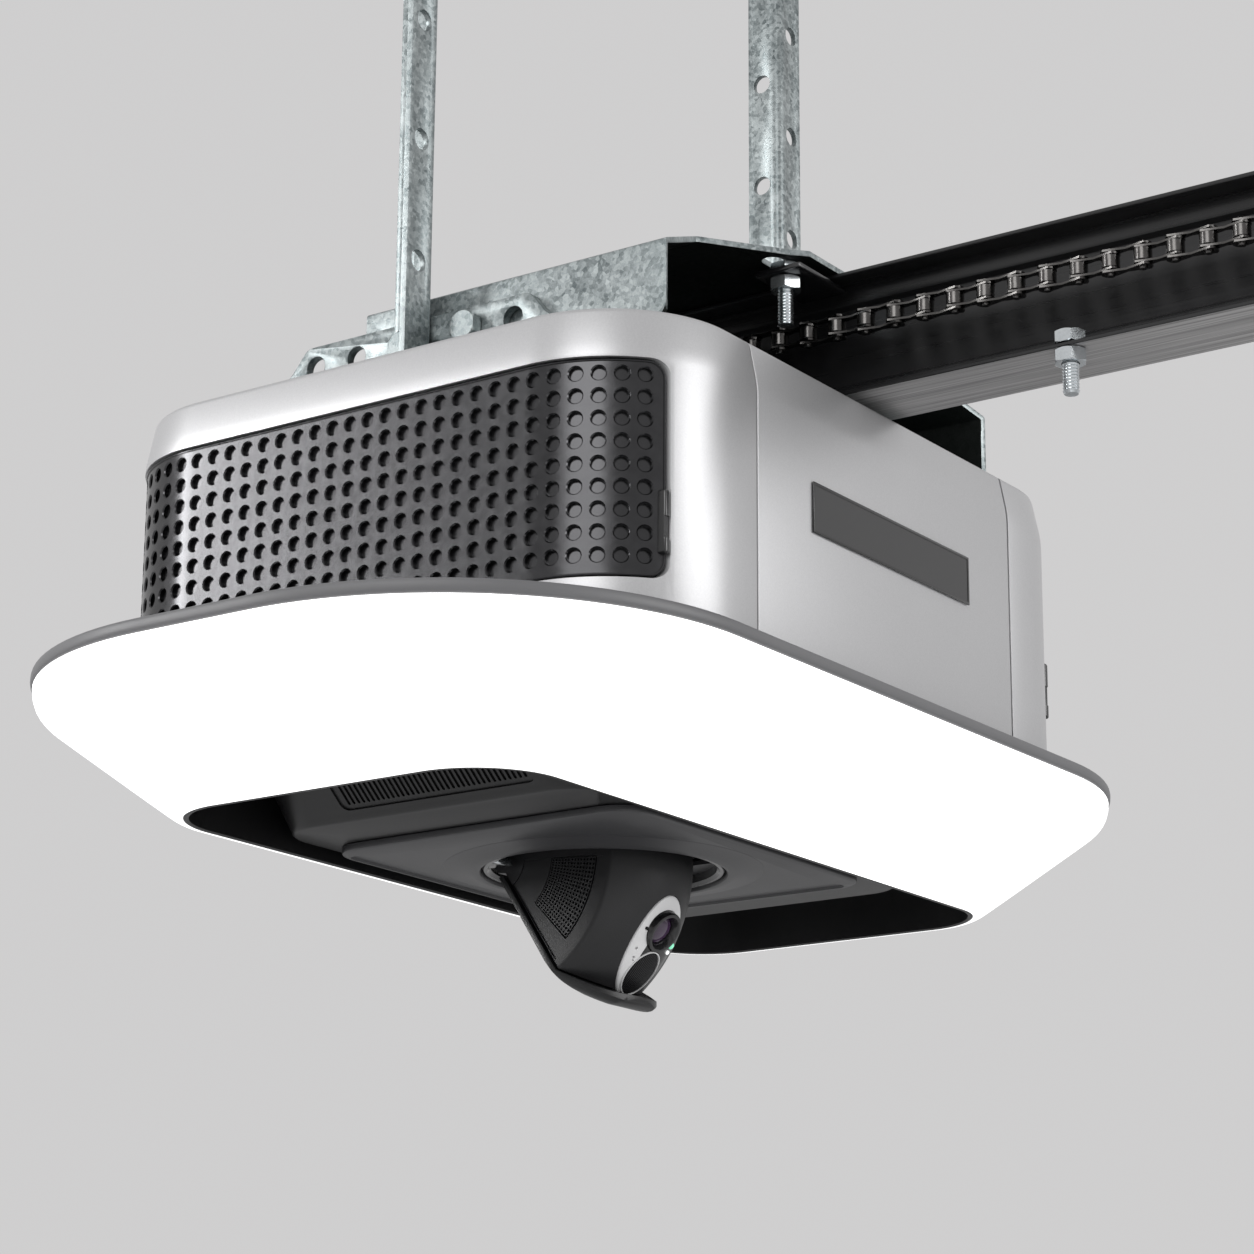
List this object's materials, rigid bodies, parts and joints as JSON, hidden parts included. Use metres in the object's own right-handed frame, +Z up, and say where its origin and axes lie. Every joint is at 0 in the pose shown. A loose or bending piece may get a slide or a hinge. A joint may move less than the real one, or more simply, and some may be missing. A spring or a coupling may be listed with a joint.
{
  "type": "garage door opener",
  "caption": "Ceiling-hung garage door opener: motor head with perforated side doors, wide lamp ring, swinging camera, rail section and drive chain.",
  "frame": {"origin": "midway between the tops of the two hanging straps, where the opener is fixed to the ceiling", "axes": "+Z up, -Y along the rail towards the door, +X across the rail"},
  "size_m": [0.478, 0.543, 0.4965],
  "materials": {
    "silver_paint": "satin metallic paint",
    "black_plastic": "satin black",
    "charcoal_plastic": "satin charcoal",
    "lamp_white": "opal white, lit",
    "rim_grey": "satin",
    "galvanised_steel": "spangled zinc",
    "rail_black": "black paint",
    "bright_steel": "bright zinc plate",
    "chain_steel": "oiled dark steel",
    "lens_glass": "coated lens",
    "circuit_board": "solder mask",
    "nylon": "moulded"
  },
  "bodies": {
    "head": {"front_panel": "silver_paint", "rear_panel": "silver_paint", "left_cover": "silver_paint", "right_cover": "silver_paint", "base_pan": "black_plastic", "power_inlet": "black_plastic", "front_badge": "black_plastic", "camera_plate": "charcoal_plastic", "backup_battery": "charcoal_plastic", "light_diffuser": "lamp_white", "light_tray": "rim_grey", "chassis_plate": "galvanised_steel", "hat_bracket": "galvanised_steel", "left_hanger_bar": "galvanised_steel", "right_hanger_bar": "galvanised_steel", "left_strap": "galvanised_steel", "right_strap": "galvanised_steel", "rail_saddle": "galvanised_steel", "shaft_bearing": "galvanised_steel", "motor_can": "galvanised_steel", "power_supply": "galvanised_steel", "rail": "rail_black", "left_clamp_jaw": "rail_black", "right_clamp_jaw": "rail_black", "left_bar_bolt": "bright_steel", "left_bar_nut": "bright_steel", "right_bar_bolt": "bright_steel", "right_bar_nut": "bright_steel", "left_strap_bolt": "bright_steel", "left_strap_nut": "bright_steel", "right_strap_bolt": "bright_steel", "right_strap_nut": "bright_steel", "left_clamp_bolt": "bright_steel", "left_clamp_nut": "bright_steel", "right_clamp_bolt": "bright_steel", "right_clamp_nut": "bright_steel", "rail_bolt": "bright_steel", "rail_nut": "bright_steel", "drive_chain": "chain_steel", "gear_case": "chain_steel", "led_board": "circuit_board", "logic_board": "circuit_board"},
    "turret": {"camera_turret": "black_plastic", "tilt_pin": "bright_steel"},
    "pod": {"pod_shell": "charcoal_plastic", "pod_lid": "black_plastic", "face_plate": "lamp_white", "lens_ring": "black_plastic", "camera_lens": "lens_glass", "motion_window": "charcoal_plastic", "speaker_mesh": "charcoal_plastic"},
    "left_door": {"left_grille": "black_plastic"},
    "right_door": {"right_grille": "black_plastic"},
    "output": {"drive_shaft": "bright_steel", "drive_sprocket": "bright_steel", "worm_gear": "nylon"},
    "motor": {"motor_rotor": "bright_steel"},
    "up_key": {"up_button": "charcoal_plastic"},
    "down_key": {"down_button": "charcoal_plastic"},
    "learn_key": {"learn_button": "charcoal_plastic"}
  },
  "joints": [
    {"name": "turret_pan", "type": "hinge", "parent": "head", "child": "turret", "pos_m": [0, 0, -0.44], "axis": [0, 0, 1], "range_deg": [-170, 170]},
    {"name": "pod_tilt", "type": "hinge", "parent": "turret", "child": "pod", "pos_m": [0, 0.031, -0.439], "axis": [1, 0, 0], "range_deg": [-40, 12]},
    {"name": "left_door_swing", "type": "hinge", "parent": "head", "child": "left_door", "pos_m": [-0.1322, 0.1227, -0.3385], "axis": [0, 0, -1], "range_deg": [0, 90]},
    {"name": "right_door_swing", "type": "hinge", "parent": "head", "child": "right_door", "pos_m": [0.1322, 0.1227, -0.3385], "axis": [0, 0, 1], "range_deg": [0, 90]},
    {"name": "motor_spin", "type": "hinge", "parent": "head", "child": "motor", "pos_m": [0, 0.0658, -0.32], "axis": [1, 0, 0], "continuous": true},
    {"name": "output_spin", "type": "hinge", "parent": "head", "child": "output", "pos_m": [0, 0.035, -0.32], "axis": [0, 0, 1], "continuous": true},
    {"name": "up_press", "type": "slide", "parent": "head", "child": "up_key", "axis": [0, -1, 0], "range_m": [0, 0.0012], "stiffness_N_per_m": 400, "springref_m": -0.0003},
    {"name": "down_press", "type": "slide", "parent": "head", "child": "down_key", "axis": [0, -1, 0], "range_m": [0, 0.0012], "stiffness_N_per_m": 400, "springref_m": -0.0003},
    {"name": "learn_press", "type": "slide", "parent": "head", "child": "learn_key", "axis": [0, -1, 0], "range_m": [0, 0.0012], "stiffness_N_per_m": 400, "springref_m": -0.0003}
  ],
  "couplings": [
    {"joint": "output_spin", "follows": "motor_spin", "ratio": 0.041667}
  ]
}
